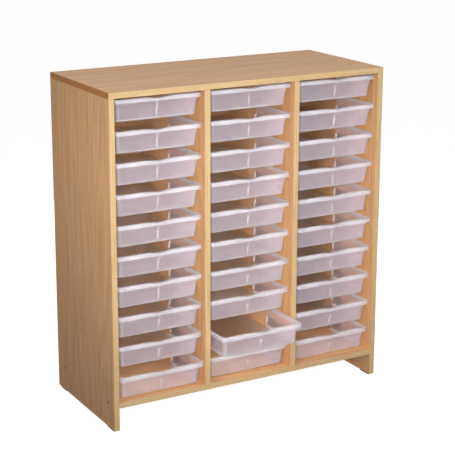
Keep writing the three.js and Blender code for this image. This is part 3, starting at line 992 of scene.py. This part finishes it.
class TRAYUNIT_OT_bolts(bpy.types.Operator):
    """Makes the bolts that are sunk into the side panels"""

    bl_idname = "trayunit.bolts"
    bl_label = "Bolts"

    # Rounding of the edges, and the flat ring round the socket
    ease = 0.5 * MM
    socket_land = 0.8 * MM

    def execute(self, context):
        settings = context.scene.trayunit_fittings
        steel = blackened_steel(settings)
        for side, inward in (("left", 1), ("right", -1)):
            for end in ("front", "rear"):
                self.add_bolt(f"{side}_{end}_bolt", inward, settings, steel)
        return {"FINISHED"}

    def add_bolt(self, node, inward, settings, material):
        """A flat-headed bolt with a hex socket, its head flush with the panel."""
        low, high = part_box(node)
        outer = low.x if inward > 0 else high.x
        length = high.x - low.x
        head = settings.head_diameter / 2
        shank = settings.shank_diameter / 2
        flat = settings.socket_width / 2
        sixth = math.pi / 3

        def hexagon(turn):
            return flat / math.cos((turn % sixth) - sixth / 2)

        profile = [
            (length, shank - self.ease),
            (length - self.ease, shank),
            (settings.head_height, shank),
            (settings.head_height, head - self.ease / 2),
            (settings.head_height - self.ease / 2, head),
            (self.ease, head),
            (0, head - self.ease),
            (0, flat + self.socket_land),
            (self.ease / 2, hexagon),
            (settings.socket_depth, hexagon),
        ]
        bm = bmesh.new()
        lofted(bm, level_rings(outer, inward, (low.y + high.y) / 2, (low.z + high.z) / 2, profile))
        mesh = finished_mesh(bm, f"{node}_fastener", material, smooth_angle=35)
        bolt = place_piece(f"{node}_fastener", mesh, CABINET)
        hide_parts(node)


class TRAYUNIT_OT_glides(bpy.types.Operator):
    """Makes the glides under the side panels"""

    bl_idname = "trayunit.glides"
    bl_label = "Glides"

    # Steps of a round end, and how far the middle of a rounded edge lies in, as a share of its radius
    end_steps = 12
    round_share = 0.3

    def execute(self, context):
        settings = context.scene.trayunit_fittings
        plastic = moulded_black_polyethylene(settings)
        for side in ("left", "right"):
            for end in ("front", "rear"):
                self.add_glide(f"{end}_{side}_glide", settings, plastic)
        return {"FINISHED"}

    def add_glide(self, node, settings, material):
        """A pad with round ends and eased edges, with the pin that holds it."""
        low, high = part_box(node)
        centre = (low + high) / 2
        radius = (high.x - low.x) / 2
        reach = (high.y - low.y) / 2 - radius
        ease = settings.glide_radius
        part = ease * self.round_share
        top = settings.glide_height
        pin = settings.pin_diameter / 2
        rings = [
            (radius - ease, reach, 0),
            (radius - part, reach, part),
            (radius, reach, ease),
            (radius, reach, top - part),
            (radius - part, reach, top),
            (pin, 0, top),
            (pin, 0, high.z - pin / 2),
            (pin / 2, 0, high.z),
        ]
        bm = bmesh.new()
        lofted(bm, [self.stadium(centre, *ring) for ring in rings])
        bmesh.ops.remove_doubles(bm, verts=bm.verts, dist=WELD)
        mesh = finished_mesh(bm, f"{node}_pad", material, smooth_angle=35)
        glide = place_piece(f"{node}_pad", mesh, CABINET)
        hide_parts(node)

    def stadium(self, centre, radius, reach, z):
        """A level ring of two half circles that lie so far to the front and the back of a centre."""
        ring = []
        for half in (1, -1):
            for step in range(self.end_steps + 1):
                turn = math.pi * step / self.end_steps
                x = centre.x + half * radius * math.cos(turn)
                y = centre.y + half * (reach + radius * math.sin(turn))
                ring.append((x, y, z))
        return ring


class TRAYUNIT_PT_sidebar(bpy.types.Panel):
    """Lists the sizes, colours and builders of the tray unit"""

    bl_idname = "TRAYUNIT_PT_sidebar"
    bl_label = "Tray Unit"
    bl_space_type = "VIEW_3D"
    bl_region_type = "UI"
    bl_category = "Tray Unit"

    def draw(self, context):
        for operator in OPERATORS:
            self.layout.operator(operator.bl_idname)
        for name in GROUPS:
            box = self.layout.box()
            group = getattr(context.scene, name)
            for setting in group.bl_rna.properties:
                if setting.identifier not in ("rna_type", "name"):
                    box.prop(group, setting.identifier)


GROUPS = {
    "trayunit_carcass": CarcassSettings,
    "trayunit_trays": TraySettings,
    "trayunit_fittings": FittingSettings,
    "trayunit_stage": StageSettings,
}
OPERATORS = (
    TRAYUNIT_OT_stage,
    TRAYUNIT_OT_boards,
    TRAYUNIT_OT_edge_bands,
    TRAYUNIT_OT_runners,
    TRAYUNIT_OT_trays,
    TRAYUNIT_OT_bolts,
    TRAYUNIT_OT_glides,
)


def register():
    for kind in (*GROUPS.values(), *OPERATORS, TRAYUNIT_PT_sidebar):
        bpy.utils.register_class(kind)
    for name, group in GROUPS.items():
        setattr(bpy.types.Scene, name, PointerProperty(type=group))


def unregister():
    for name in GROUPS:
        delattr(bpy.types.Scene, name)
    for kind in (TRAYUNIT_PT_sidebar, *reversed(OPERATORS), *GROUPS.values()):
        bpy.utils.unregister_class(kind)


def main():
    register()
    bpy.ops.trayunit.stage()
    bpy.ops.trayunit.boards()
    bpy.ops.trayunit.edge_bands()
    bpy.ops.trayunit.runners()
    bpy.ops.trayunit.trays()
    bpy.ops.trayunit.bolts()
    bpy.ops.trayunit.glides()
    bpy.context.view_layer.update()


if __name__ == "__main__":
    main()
